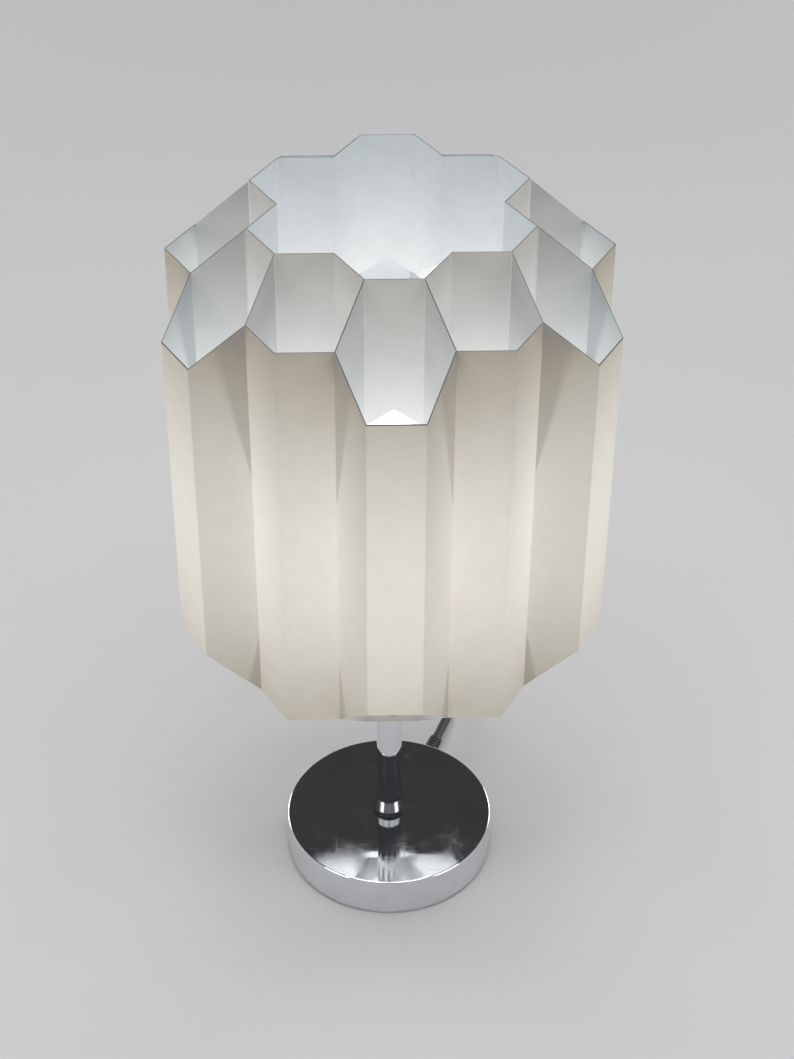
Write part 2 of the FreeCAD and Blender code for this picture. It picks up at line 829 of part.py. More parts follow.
def build_coil():
    start, end = coil_ends()
    heading = Vector(0, -1, 0)
    quarters = coil_turns * 4
    edges = [Part.LineSegment(start, coil_place(0)).toShape()]
    for quarter in range(quarters):
        here = quarter / 4
        there = (quarter + 1) / 4
        leaving = heading if quarter == 0 else coil_heading(here)
        arriving = heading if quarter == quarters - 1 else coil_heading(there)
        edges += two_arcs(coil_place(here), leaving, coil_place(there), arriving)
    edges.append(Part.LineSegment(coil_place(coil_turns), end).toShape())
    wire = Part.Wire(edges)
    solid = swept(wire, cord_radius, heading)
    expected = math.pi * cord_radius ** 2 * wire.Length
    print("cord_coil length", round(wire.Length, 1), "volume ratio", round(solid.Volume / expected, 4))
    save(solid, "cord_coil")
    print("cord_coil least gap to itself", round(coil_gap(wire), 2))


# Least distance between points of the centre line that are over half a turn apart, less the cord.
def coil_gap(wire):
    spacing = 2.0
    points = wire.discretize(Distance=spacing)
    apart = int(math.pi * (coil_mean_radius - coil_pitch * coil_turns / 4) / spacing)
    least = 1e9
    for index, point in enumerate(points):
        for other in points[index + apart:]:
            least = min(least, (point - other).Length)
    return least - 2 * cord_radius


gland_end = base_radius + gland_flange_thickness + gland_tail
switch_level = table_play + switch_height / 2
plug_level = table_play + plug_thickness / 2
lead_route = [
    cord_point(gland_end, 0, cord_height),
    cord_point(gland_end + straight_start, 0, cord_height),
    Vector(51, 134, 4.6),
    Vector(63, 176, cord_rest),
    Vector(70, 219, cord_rest),
    Vector(69, 260, 4.2),
    Vector(64, 290, switch_level),
    Vector(59.5, 312, switch_level),
]
plug_route = [
    coil_ends()[1],
    Vector(coil_ends()[1].x, 262, coil_ends()[1].z),
    Vector(-45, 242, 7.8),
    Vector(-51, 223, plug_level),
    Vector(-57, 205, plug_level),
]


def heading_angle(start, end):
    return math.degrees(math.atan2(end.y - start.y, end.x - start.x))


switch_angle = heading_angle(lead_route[-2], lead_route[-1])
switch_start = lead_route[-1]
switch_forward = Vector(math.cos(math.radians(switch_angle)), math.sin(math.radians(switch_angle)), 0)
switch_end = switch_start + switch_forward * switch_length
link_route = [
    switch_end,
    switch_end + switch_forward * straight_start,
    Vector(25, 430, 4.2),
    Vector(-3, 441, cord_rest),
    Vector(-30, 427, cord_rest),
    Vector(-44, 398, cord_rest),
    Vector(-46, 363, cord_rest),
    Vector(coil_ends()[0].x, 329, cord_rest),
    coil_ends()[0],
]
plug_angle = heading_angle(plug_route[-2], plug_route[-1])


def build_cord():
    save(tube(lead_route, cord_radius, "cord_lead"), "cord_lead")
    save(tube(link_route, cord_radius, "cord_link"), "cord_link")
    save(tube(plug_route, cord_radius, "cord_tail"), "cord_tail")
    build_coil()


# ---------------------------------------------------------------- inline switch

# Drawn along +X from the lead's end, and then laid where the cord brings it.
def lay_switch(shape):
    return placed(shape, Vector(switch_start.x, switch_start.y, 0), switch_angle)


def rounded_block(x_low, x_high, half_width, low, high, radius):
    shape = block(x_low, x_high, -half_width, half_width, low, high)
    upright = [edge for edge in shape.Edges if abs(edge.tangentAt(edge.FirstParameter).z) > 0.9]
    return shape.makeFillet(radius, upright)


def build_switch():
    low = table_play
    seam = switch_level
    high = table_play + switch_height
    body_low = switch_spout
    body_high = switch_length - switch_spout
    half = switch_width / 2
    middle = switch_length / 2
    outer = rounded_block(body_low, body_high, half, low, high, switch_corner)
    flat = [edge for edge in outer.Edges if edge.BoundBox.ZLength < 1e-4]
    outer = outer.makeFillet(switch_rounding, flat)
    cavity = rounded_block(body_low + switch_wall, body_high - switch_wall, half - switch_wall,
                           low + switch_wall, high - switch_wall, switch_corner - switch_wall)
    spouts = radial_cylinder(switch_spout_radius, 0, switch_length, seam)
    rims = [edge for edge in spouts.Edges if edge.BoundBox.XLength < 1e-4]
    spouts = spouts.makeFillet(switch_spout_rounding, rims)
    spouts = spouts.cut(block(body_low + switch_wall, body_high - switch_wall, -half, half, low, high))
    case = outer.cut(cavity).fuse(spouts)

    level = table_play + pivot_height
    window_half = math.hypot(rocker_length / 2, rocker_shoulder) + rocker_play
    window_side = rocker_width / 2 + rocker_play
    window = block(middle - window_half, middle + window_half, -window_side, window_side,
                   high - switch_wall, high)
    bearings = None
    for side in (-1, 1):
        near = side * window_side
        far = side * (window_side + rocker_pin_length)
        y_low, y_high = sorted((near, far))
        bearing = block(middle - bearing_half, middle + bearing_half, y_low, y_high,
                        level - bearing_half, high - switch_wall)
        bearings = bearing if bearings is None else bearings.fuse(bearing)
    case = case.cut(window).fuse(bearings)
    pin_reach = window_side + rocker_pin_length - rocker_play
    pin_hole = Part.makeCylinder(rocker_pin + thread_gap, 2 * (pin_reach + rocker_play),
                                 Vector(middle, -pin_reach - rocker_play, level), Vector(0, 1, 0))
    case = case.cut(pin_hole)
    posts = None
    screws = []
    screw_seat = low + switch_wall + switch_screw_seat
    screw_end = seam + switch_screw_bite + seat_gap
    for side in (-1, 1):
        x = middle + side * switch_screw_place
        post = cylinder(switch_screw_head + switch_post_wall, low + switch_wall, high - switch_wall, x)
        posts = post if posts is None else posts.fuse(post)
        head = cylinder(switch_screw_head, low + switch_screw_sink, screw_seat, x)
        shank = cylinder(switch_screw_radius, screw_seat, seam + switch_screw_bite, x)
        screws.append(head.fuse(shank).removeSplitter())
    case = case.fuse(posts)
    for screw_side in (-1, 1):
        x = middle + screw_side * switch_screw_place
        case = case.cut(cylinder(switch_screw_head + thread_gap, low, screw_seat, x))
        case = case.cut(cylinder(switch_screw_radius + thread_gap, low, screw_end, x))
    below = block(0, switch_length, -half, half, low, seam)
    above = block(0, switch_length, -half, half, seam, high)
    save(lay_switch(case.common(below).removeSplitter()), "switch_base")
    save(lay_switch(case.common(above).removeSplitter()), "switch_cover")
    laid = [lay_switch(screw) for screw in screws]
    save(Part.makeCompound(laid), "switch_screws")

    reach = rocker_length / 2
    profile = [
        Vector(-reach, 0, rocker_shoulder),
        Vector(0, 0, rocker_crown),
        Vector(reach, 0, rocker_shoulder),
        Vector(reach, 0, 0),
        Vector(reach / 2, 0, -rocker_depth),
        Vector(-reach / 2, 0, -rocker_depth),
        Vector(-reach, 0, 0),
    ]
    rocker = polygon_face(profile).extrude(Vector(0, rocker_width, 0))
    rocker.translate(Vector(0, -rocker_width / 2, 0))
    pins = Part.makeCylinder(rocker_pin, 2 * pin_reach, Vector(0, -pin_reach, 0), Vector(0, 1, 0))
    rocker = rocker.fuse(pins).removeSplitter()
    rocker.rotate(origin, Vector(0, 1, 0), rocker_tilt)
    rocker.translate(Vector(middle, 0, level))
    save(lay_switch(rocker), "switch_rocker")
    pivot = lay_switch(Part.Vertex(middle, 0, level)).Point
    print("rocker pivot", [round(value, 3) for value in pivot], "switch angle", round(switch_angle, 3))


# ---------------------------------------------------------------- plug

def build_plug():
    half = plug_width / 2
    heel = plug_heel / 2
    outline = [
        Vector(0, -heel, 0),
        Vector(plug_waist, -half, 0),
        Vector(plug_length, -half, 0),
        Vector(plug_length, half, 0),
        Vector(plug_waist, half, 0),
        Vector(0, heel, 0),
    ]
    body = prism(outline, table_play, table_play + plug_thickness)
    body = body.makeFillet(plug_rounding, body.Edges)
    start = plug_route[-1]
    pins = []
    for side in (-1, 1):
        y = side * plug_pin_spread / 2
        inside = Vector(plug_length - plug_pin_root, y, plug_level)
        face = Vector(plug_length, y, plug_level)
        bare = plug_length + plug_sleeve_length
        pin = Part.makeCylinder(plug_pin_radius, plug_pin_length - plug_sleeve_length,
                                Vector(bare, y, plug_level), Vector(1, 0, 0))
        tip = [edge for edge in pin.Edges if edge.BoundBox.XMin > bare]
        pin = pin.makeFillet(plug_pin_rounding, tip)
        neck = Part.makeCylinder(plug_sleeve_radius, plug_sleeve_length, face, Vector(1, 0, 0))
        root = Part.makeCylinder(plug_root_radius, plug_pin_root, inside, Vector(1, 0, 0))
        hole = Part.makeCylinder(plug_root_radius + thread_gap, plug_pin_root, inside, Vector(1, 0, 0))
        body = body.cut(hole)
        pin = pin.fuse([neck, root])
        pins.append(placed(pin, Vector(start.x, start.y, 0), plug_angle))
        foot = Part.Vertex(bare, y, plug_level)
        foot_place = placed(foot, Vector(start.x, start.y, 0), plug_angle).Point
        print("plug pin", "right" if side < 0 else "left", [round(value, 3) for value in foot_place])
    save(placed(body, Vector(start.x, start.y, 0), plug_angle), "plug_body")
    save(Part.makeCompound(pins), "plug_pins")
    print("plug angle", round(plug_angle, 3))


build_shade()
build_carrier()
build_base()
build_cord_entry()
build_column()
build_lampholder()
build_cores()
build_bulb()
build_cord()
build_switch()
build_plug()
print("rims", lower_rim, upper_rim, "carrier", carrier_level, "bulb centre", bulb_level, "tip", tip_level)
print("gland end", cord_point(gland_end, 0, cord_height))
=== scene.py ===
import json
import math
import bpy
import numpy as np
from mathutils import Euler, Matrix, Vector


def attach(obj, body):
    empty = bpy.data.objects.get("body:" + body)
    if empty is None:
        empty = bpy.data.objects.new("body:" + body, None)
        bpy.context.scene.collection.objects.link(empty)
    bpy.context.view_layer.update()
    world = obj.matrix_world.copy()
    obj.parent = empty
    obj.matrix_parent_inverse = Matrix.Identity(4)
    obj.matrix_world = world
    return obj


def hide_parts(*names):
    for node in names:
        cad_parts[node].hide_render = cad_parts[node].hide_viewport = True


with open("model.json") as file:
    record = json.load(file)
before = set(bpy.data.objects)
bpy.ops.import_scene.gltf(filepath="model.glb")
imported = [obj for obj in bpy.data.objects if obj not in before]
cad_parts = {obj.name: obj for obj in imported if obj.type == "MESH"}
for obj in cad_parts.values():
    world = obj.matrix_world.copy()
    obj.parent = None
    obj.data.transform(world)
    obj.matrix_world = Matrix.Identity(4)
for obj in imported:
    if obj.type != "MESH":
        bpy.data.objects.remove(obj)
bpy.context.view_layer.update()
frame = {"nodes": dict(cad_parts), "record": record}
nodes = frame["nodes"]
print("frame loaded:", len(nodes), "nodes")


cameraView = {
    "place": (-0.02437325, -0.98275563, 1.00766334),
    "turnDegrees": (52.612002, -0.255485, -1.469826),
    "lens": 71.696,
    "sensor": 36.0,
}


def makeCamera(view):
    data = bpy.data.cameras.new("photoCamera")
    data.lens = view["lens"]
    data.sensor_width = view["sensor"]
    camera = bpy.data.objects.new("photoCamera", data)
    camera.location = view["place"]
    camera.rotation_euler = Euler([math.radians(a) for a in view["turnDegrees"]], "XYZ")
    bpy.context.scene.collection.objects.link(camera)
    bpy.context.scene.camera = camera


makeCamera(cameraView)
bpy.context.scene.view_settings.view_transform = "Standard"
print("camera placed")


cordShape = {
    "diameter": 0.006,
    "rest": 0.0031,         # height of the centre line on the table
    "headingDegrees": 68.0,
    "exitReach": 0.092,     # end of the strain relief, from the lamp's axis
    "straight": 0.022,
    "exitHeight": 0.009,
    "leadLength": 0.233,
    "spareLength": 1.55,
    "sides": 5,
    "steps": 8,
}
coilShape = {
    "middle": (0.0, 0.290),
    "meanRadius": 0.032,
    "pitch": 0.0066,
    "turns": 6,
    "climb": 0.5,
    "pointsPerTurn": 16,
    "stub": 0.006,
    "splineCut": 0.75,
}
switchPlace = {
    "start": (0.0595, 0.312, 0.0077),
    "before": (0.064, 0.290, 0.0077),
    "length": 0.066,
}


def unitPlan(start, end):
    step = np.array(end[:2]) - np.array(start[:2])
    return step / np.linalg.norm(step)


def onHeading(reach, height):
    angle = math.radians(cordShape["headingDegrees"])
    return (reach * math.cos(angle), reach * math.sin(angle), height)


# The turns wind in on the table, climb in half a turn and wind out on top: the radius
# changes by one pitch a turn, and the height rises as half a cosine wave in the middle.
def coilPoints(shape):
    half = shape["turns"] / 2
    widest = shape["meanRadius"] + shape["pitch"] * half / 2
    steps = shape["turns"] * shape["pointsPerTurn"]
    done = np.linspace(0, shape["turns"], steps + 1)
    distance = np.abs(done - half)
    near = distance < shape["climb"] / 2
    distance = np.where(near, shape["climb"] / 4 + distance ** 2 / shape["climb"], distance)
    # The spline cuts inside its points, so they stand a little further out.
    widened = 1 / math.cos(math.pi / shape["pointsPerTurn"]) ** shape["splineCut"]
    radius = (widest - shape["pitch"] * (half - distance)) * widened
    share = np.clip((done - half) / shape["climb"] + 0.5, 0, 1)
    height = cordShape["rest"] + shape["pitch"] * (1 - np.cos(np.pi * share)) / 2
    angle = np.pi * (1 + 2 * done)
    x = shape["middle"][0] + radius * np.cos(angle)
    y = shape["middle"][1] + radius * np.sin(angle)
    return np.column_stack([x, y, height])


def makeCord(name, route):
    curve = bpy.data.curves.new(name, "CURVE")
    curve.dimensions = "3D"
    curve.resolution_u = cordShape["steps"]
    curve.bevel_depth = 1.0         # each point's own radius gives the cord's thickness
    curve.bevel_resolution = cordShape["sides"]
    curve.use_fill_caps = True
    spline = curve.splines.new("NURBS")
    spline.points.add(len(route) - 1)
    flat = np.column_stack([np.array(route), np.ones(len(route))])
    spline.points.foreach_set("co", flat.astype(np.float32).ravel())
    spline.points.foreach_set("radius", np.full(len(route), cordShape["diameter"] / 2, dtype=np.float32))
    spline.order_u = 3
    spline.use_endpoint_u = True
    spline.use_smooth = True
    cord = bpy.data.objects.new(name, curve)
    bpy.context.scene.collection.objects.link(cord)
    return cord


rest = cordShape["rest"]
switchHeading = unitPlan(switchPlace["before"], switchPlace["start"])
switchEnd = np.array(switchPlace["start"][:2]) + switchHeading * switchPlace["length"]
afterSwitch = switchEnd + switchHeading * cordShape["straight"]
cordExit = onHeading(cordShape["exitReach"], cordShape["exitHeight"])
leadRoute = [
    cordExit,
    onHeading(cordShape["exitReach"] + cordShape["straight"], cordShape["exitHeight"]),
    (0.051, 0.134, 0.0046),
    (0.063, 0.176, rest),
    (0.070, 0.219, rest),
    (0.069, 0.260, 0.0042),
    switchPlace["before"],
    switchPlace["start"],
]
coilLine = coilPoints(coilShape)
coilStart = coilLine[0] + np.array([0, coilShape["stub"], 0])
coilEnd = coilLine[-1] - np.array([0, coilShape["stub"], 0])
linkRoute = [
    (*switchEnd, switchPlace["start"][2]),
    (*afterSwitch, switchPlace["start"][2]),
    (0.025, 0.430, 0.0042),
    (-0.003, 0.441, rest),
    (-0.030, 0.427, rest),
    (-0.044, 0.398, rest),
    (-0.046, 0.363, rest),
    (coilStart[0], 0.329, rest),
    tuple(coilStart),
]
tailRoute = [
    tuple(coilEnd),
    (coilEnd[0], 0.262, coilEnd[2]),
    (-0.045, 0.242, 0.0078),
    (-0.051, 0.223, 0.0070),
    (-0.057, 0.205, 0.0070),
]

leadCord = makeCord("mains_cord_lead", leadRoute)
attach(leadCord, "lamp")
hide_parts("cord_lead")

longCord = makeCord("mains_cord_spare", linkRoute + [tuple(p) for p in coilLine] + tailRoute)
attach(longCord, "lamp")
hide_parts("cord_link", "cord_coil", "cord_tail")
print("cords laid")


def wire(tree, value, socket):
    if isinstance(value, bpy.types.NodeSocket):
        tree.links.new(value, socket)
    else:
        socket.default_value = value


def calc(tree, operation, *values):
    node = tree.nodes.new("ShaderNodeMath")
    node.operation = operation
    for index, value in enumerate(values):
        wire(tree, value, node.inputs[index])
    return node.outputs[0]


def smooth(tree, value, low, high):
    node = tree.nodes.new("ShaderNodeMapRange")
    node.interpolation_type = "SMOOTHSTEP"
    wire(tree, value, node.inputs["Value"])
    wire(tree, low, node.inputs["From Min"])
    wire(tree, high, node.inputs["From Max"])
    return node.outputs["Result"]


def scaled(tree, value, low, high, newLow, newHigh):
    node = tree.nodes.new("ShaderNodeMapRange")
    for name, item in (("Value", value), ("From Min", low), ("From Max", high),
                       ("To Min", newLow), ("To Max", newHigh)):
        wire(tree, item, node.inputs[name])
    return node.outputs["Result"]


def mixValue(tree, factor, first, second):
    node = tree.nodes.new("ShaderNodeMix")
    wire(tree, factor, node.inputs[0])
    wire(tree, first, node.inputs[2])
    wire(tree, second, node.inputs[3])
    return node.outputs[0]


def mixColour(tree, factor, first, second):
    node = tree.nodes.new("ShaderNodeMix")
    node.data_type = "RGBA"
    wire(tree, factor, node.inputs[0])
    for value, socket in ((first, node.inputs[6]), (second, node.inputs[7])):
        wire(tree, (*value, 1.0) if isinstance(value, tuple) and len(value) == 3 else value, socket)
    return node.outputs[2]


def noise(tree, place, scale, detail, roughness, distortion=0.0):
    node = tree.nodes.new("ShaderNodeTexNoise")
    wire(tree, place, node.inputs["Vector"])
    for name, value in (("Scale", scale), ("Detail", detail), ("Roughness", roughness),
                        ("Distortion", distortion)):
        wire(tree, value, node.inputs[name])
    return node.outputs["Fac"]


def bump(tree, height, strength, distance):
    node = tree.nodes.new("ShaderNodeBump")
    node.inputs["Strength"].default_value = strength
    node.inputs["Distance"].default_value = distance
    wire(tree, height, node.inputs["Height"])
    return node.outputs["Normal"]


def newGroup(name, inputs, outputs):
    group = bpy.data.node_groups.new(name, "ShaderNodeTree")
    for label, kind in inputs:
        group.interface.new_socket(label, in_out="INPUT", socket_type="NodeSocket" + kind)
    for label, kind in outputs:
        group.interface.new_socket(label, in_out="OUTPUT", socket_type="NodeSocket" + kind)
    return group, group.nodes.new("NodeGroupInput").outputs, group.nodes.new("NodeGroupOutput").inputs


def useGroup(tree, group, **values):
    node = tree.nodes.new("ShaderNodeGroup")
    node.node_tree = group
    for label, value in values.items():
        wire(tree, value, node.inputs[label])
    return node.outputs


def newMaterial(name):
    material = bpy.data.materials.new(name)
    material.use_nodes = True
    tree = material.node_tree
    shader = tree.nodes["Principled BSDF"]
    where = tree.nodes.new("ShaderNodeTexCoord").outputs
    return material, tree, shader, where


grainLook = {"broadness": 0.12, "fineShare": 0.7, "broadShare": 0.3}
noiseRange = (0.3, 0.7)         # most of the noise lies between these levels


# Fine grain: two sizes of noise added up, for bump height and slight colour changes.
def makeGrain(look):
    group, given, made = newGroup("surfaceGrain", [("Place", "Vector"), ("Size", "Float")],
                                  [("Height", "Float"), ("Mottle", "Float")])
    fine = noise(group, given["Place"], calc(group, "DIVIDE", 1.0, given["Size"]), 3.0, 0.6)
    broad = noise(group, given["Place"], calc(group, "DIVIDE", look["broadness"], given["Size"]), 2.0, 0.5)
    broadPart = calc(group, "MULTIPLY", broad, look["broadShare"])
    height = calc(group, "MULTIPLY_ADD", fine, look["fineShare"], broadPart)
    group.links.new(height, made["Height"])
    group.links.new(broad, made["Mottle"])
    return group


handlingLook = {
    "scratches": ((0.6, (30, 900, 300)), (2.2, (700, 25, 260))),    # turn, and stretch along each axis
    "scratchLevel": (0.66, 0.74),
    "smearSize": 18.0,
    "smearLevel": (0.48, 0.72),
}


# Hairline scratches and handling marks: stretched noise turned two ways, and cloudy smears.
def makeHandling(look):
    group, given, made = newGroup("handlingMarks", [("Place", "Vector"), ("Density", "Float")],
                                  [("Scratch", "Float"), ("Smear", "Float")])
    lines = []
    for turn, stretch in look["scratches"]:
        mapping = group.nodes.new("ShaderNodeMapping")
        mapping.inputs["Rotation"].default_value = (0, 0, turn)
        mapping.inputs["Scale"].default_value = stretch
        group.links.new(given["Place"], mapping.inputs["Vector"])
        streak = noise(group, mapping.outputs[0], 1.0, 2.0, 0.55, 0.3)
        lines.append(smooth(group, streak, *look["scratchLevel"]))
    both = calc(group, "MAXIMUM", *lines)
    cloudScale = calc(group, "MULTIPLY", given["Density"], look["smearSize"])
    cloud = noise(group, given["Place"], cloudScale, 4.0, 0.6, 0.8)
    group.links.new(both, made["Scratch"])
    group.links.new(smooth(group, cloud, *look["smearLevel"]), made["Smear"])
    return group


dustLook = {
    "upward": (0.6, 0.95),
    "patchScale": 45.0,
    "patchLevel": (0.42, 0.70),
    "speckScale": 1400.0,
    "speckLevel": (0.70, 0.76),
    "patchShare": 0.5,
    "speckShare": 0.8,
}


# Dust that settles on faces that look up, in soft patches.
def makeDust(look):
    group, given, made = newGroup("settledDust", [("Place", "Vector"), ("Facing", "Vector")],
                                  [("Dust", "Float")])
    split = group.nodes.new("ShaderNodeSeparateXYZ")
    group.links.new(given["Facing"], split.inputs[0])
    level = smooth(group, split.outputs[2], *look["upward"])
    patches = smooth(group, noise(group, given["Place"], look["patchScale"], 4.0, 0.65), *look["patchLevel"])
    specks = smooth(group, noise(group, given["Place"], look["speckScale"], 1.0, 0.5), *look["speckLevel"])
    speckPart = calc(group, "MULTIPLY", specks, look["speckShare"])
    amount = calc(group, "MULTIPLY_ADD", patches, look["patchShare"], speckPart)
    group.links.new(calc(group, "MULTIPLY", amount, level), made["Dust"])
    return group


grainGroup = makeGrain(grainLook)
handlingGroup = makeHandling(handlingLook)
dustGroup = makeDust(dustLook)


# The lamp's light on the shade, in metres. The shade's twelve-fold plan is folded into one
# wedge, from the middle of a corner cell to the middle of an edge cell.
shadeLight = {
    "panel": 0.030,
    "bulbHeight": 0.2984,
    "bulbRadius": 0.030,
    "glowHeight": 0.312,
    "windowTop": 0.384,
    "windowBottom": 0.210,
    "gableRise": math.tan(math.radians(35)),
    "dividerFall": math.tan(math.radians(46)),
    "nearest": 0.108,
    "grazing": 1.5,
    "spread": 2.4,
    "lowerGlow": (0.325, 0.285),    # the cells are brightest beside and just under the bulb
    "lowerFade": (0.195, 0.235),
    "rimFade": (0.160, 0.212),
    "shadowBlur": 0.002,            # beside the edge itself
    "wallPlay": 0.0012,             # a face this near the inner wall belongs to it
    "outerReach": 0.100,
    "facingOut": 0.45,              # faces that look more than this away from the axis
    "cutUp": 0.3,                   # paper's cut edges look up or down by more than this
    "creaseWidth": (0.0014, 0.0003),
    "leastSine": 0.001,
    "cellPlay": 0.0001,
    "innerPlay": 0.001,
}


# Works out how much direct lamp light falls on a point of the paper. A ray from the lamp's axis
# keeps its plan angle, so it is followed out through the window and the dividers' openings, and
# each edge that it meets throws a shadow whose blur grows with the distance behind that edge.
def makeShadeLight(light):
    group, given, made = newGroup("shadeLight", [("Place", "Vector"), ("Facing", "Vector")],
                                  [("Direct", "Float"), ("Outside", "Float"), ("Wall", "Float"),
                                   ("Inward", "Float"), ("Facing", "Float"), ("Edge", "Float"),
                                   ("Height", "Float"), ("Below", "Float"), ("Lit", "Float"),
                                   ("Crease", "Float")])
    panel = light["panel"]
    row = panel * math.sqrt(3) / 2
    place = group.nodes.new("ShaderNodeSeparateXYZ")
    facing = group.nodes.new("ShaderNodeSeparateXYZ")
    group.links.new(given["Place"], place.inputs[0])
    group.links.new(given["Facing"], facing.inputs[0])
    x, y, z = place.outputs
    nx, ny, nz = facing.outputs

    def c(operation, *values):
        return calc(group, operation, *values)

    def product(*values):
        result = values[0]
        for value in values[1:]:
            result = c("MULTIPLY", result, value)
        return result

    def length(a, b):
        return c("SQRT", c("ADD", c("MULTIPLY", a, a), c("MULTIPLY", b, b)))

    bearing = c("ARCTAN2", x, c("MULTIPLY", y, -1.0))
    angle = c("PINGPONG", bearing, math.pi / 6)
    reach = length(x, y)
    sine = c("SINE", angle)
    cosine = c("COSINE", angle)
    toFlat = c("DIVIDE", 3 * row, cosine)
    toSlant = c("DIVIDE", 2 * row, c("COSINE", c("SUBTRACT", math.pi / 3, angle)))
    innerReach = c("MINIMUM", toFlat, toSlant)
    innerAcross = product(innerReach, sine)
    gable = c("MAXIMUM", product(c("SUBTRACT", panel / 2, innerAcross), light["gableRise"]),
              product(c("SUBTRACT", innerAcross, panel / 2), 2 * light["gableRise"]))
    across = product(reach, sine)
    along = product(reach, cosine)
    side = c("ADD", c("SUBTRACT", product(across, math.sin(math.pi / 3)), product(along, 0.5)), row)
    turned = c("MAXIMUM", c("SINE", c("SUBTRACT", math.pi / 6, angle)), light["leastSine"])
    dividerReach = c("DIVIDE", row, turned)
    dividerAcross = product(dividerReach, sine)
    cut = product(c("SUBTRACT", dividerAcross, panel / 2), 2 * light["dividerFall"])
    beyond = product(c("LESS_THAN", side, light["cellPlay"]), c("GREATER_THAN", dividerAcross, panel / 2))

    source = light["bulbHeight"]

    def opening(top, bottom, share, blur):
        upper = c("ADD", product(c("SUBTRACT", top, source), share), source)
        lower = c("SUBTRACT", source, product(c("SUBTRACT", source, bottom), share))
        low = c("MULTIPLY", blur, -1.0)
        return product(smooth(group, c("SUBTRACT", upper, z), low, blur),
                       smooth(group, c("SUBTRACT", z, lower), low, blur))

    def blurOf(share):
        growth = c("MAXIMUM", c("SUBTRACT", share, 1.0), 0.0)
        return c("MULTIPLY_ADD", growth, light["bulbRadius"], light["shadowBlur"])

    innerShare = c("DIVIDE", reach, innerReach)
    dividerShare = c("DIVIDE", reach, dividerReach)
    throughWall = opening(c("ADD", gable, light["windowTop"]), c("SUBTRACT", light["windowBottom"], gable),
                          innerShare, blurOf(innerShare))
    throughDivider = opening(c("SUBTRACT", light["windowTop"], cut), c("ADD", cut, light["windowBottom"]),
                             dividerShare, blurOf(dividerShare))
    throughDivider = mixValue(group, beyond, 1.0, throughDivider)
    onInnerWall = c("LESS_THAN", reach, c("ADD", innerReach, light["innerPlay"]))
    seen = mixValue(group, onInnerWall, product(throughWall, throughDivider), 1.0)

    radial = c("DIVIDE", c("ADD", product(x, nx), product(y, ny)), reach)
    rise = c("ABSOLUTE", c("SUBTRACT", z, light["glowHeight"]))
    distance = length(reach, rise)
    nearness = c("POWER", c("DIVIDE", light["nearest"], reach), 2.0)
    slope = c("POWER", c("DIVIDE", reach, distance), light["spread"])
    facingLamp = c("POWER", c("ABSOLUTE", radial), light["grazing"])
    group.links.new(product(seen, facingLamp, nearness, slope), made["Direct"])

    outer = c("GREATER_THAN", reach, light["outerReach"])
    group.links.new(product(outer, c("GREATER_THAN", radial, light["facingOut"])), made["Outside"])
    group.links.new(c("LESS_THAN", reach, c("ADD", innerReach, light["wallPlay"])), made["Wall"])
    group.links.new(c("LESS_THAN", radial, 0.0), made["Inward"])
    group.links.new(c("LESS_THAN", radial, -light["facingOut"]), made["Facing"])
    group.links.new(c("GREATER_THAN", c("ABSOLUTE", nz), light["cutUp"]), made["Edge"])
    group.links.new(rise, made["Height"])
    underBulb = product(smooth(group, z, *light["lowerGlow"]), smooth(group, z, *light["lowerFade"]))
    group.links.new(underBulb, made["Below"])
    group.links.new(smooth(group, z, *light["rimFade"]), made["Lit"])

    # Crease: a mask along the fold lines, where makePaper dims the glow by foldShade, a painted shade in the
    # folds.
    folds = [(0.5, 3), (1.0, 4), (0.5, 5), (2.0, 4), (1.0, 2)]     # in panels across and rows out
    nearFold = None
    for sideways, outwards in folds:
        gap = length(c("SUBTRACT", across, sideways * panel), c("SUBTRACT", along, outwards * row))
        nearFold = gap if nearFold is None else c("MINIMUM", nearFold, gap)
    group.links.new(smooth(group, nearFold, *light["creaseWidth"]), made["Crease"])
    return group


shadeLightGroup = makeShadeLight(shadeLight)

# Painted light: the glow that each kind of paper face gives out in place of the bulb's light, linear,
# as a level at the glow's height, a slope and a curve over the distance above or below it in metres, and a
# share of the direct light. The levels are fitted to the brightness of the lit shade.
paperFinishAndGlow = {
    # base: the white paper's colour lowered to grey, a painted shade that keeps faces dark where the glow is
    # weak
    "base": (0.36, 0.345, 0.32),
    "outside": {"level": (0.224, 0.217, 0.208), "slope": (0.284, 0.238, -0.281),
                "curve": (-15.755, -15.723, -13.089), "direct": (0.335, 0.316, 0.288)},
    "inward": {"level": (0.837, 0.883, 0.825), "slope": (-3.620, -4.003, -2.678),
               "curve": (-2.790, -0.356, -5.023), "direct": (0.000, 0.000, 0.000)},
    "outward": {"level": (1.116, 1.006, 0.986), "slope": (-7.506, -5.531, -5.208),
                "curve": (8.124, -0.004, -1.501), "direct": (0.000, 0.000, 0.000)},
    "divider": {"level": (1.214, 1.207, 1.198), "slope": (-11.638, -11.120, -10.695),
                "curve": (27.192, 24.622, 22.718), "direct": (0.300, 0.300, 0.300)},
    "cell": {"level": (-0.150, -0.123, -0.031), "slope": (8.577, 8.671, 7.500),
             "curve": (-52.600, -53.260, -48.147), "direct": (0.522, 0.544, 0.538)},
    "grainSize": 0.0011,
    "lowerCellGlow": (0.40, 0.40, 0.40),
    "mottle": (0.975, 1.02),
    "darker": 0.97,
    "rough": (0.66, 0.78),
    "sheen": 0.25,
    "relief": (0.25, 0.0002),       # bump's strength and depth
    "foldShade": 0.975,
    "shadedCutEdge": (0.10, 0.095, 0.09),
}


def addScaled(tree, first, second, rest):
    node = tree.nodes.new("ShaderNodeVectorMath")
    node.operation = "MULTIPLY_ADD"
    for index, value in enumerate((first, second, rest)):
        wire(tree, value, node.inputs[index])
    return node.outputs[0]


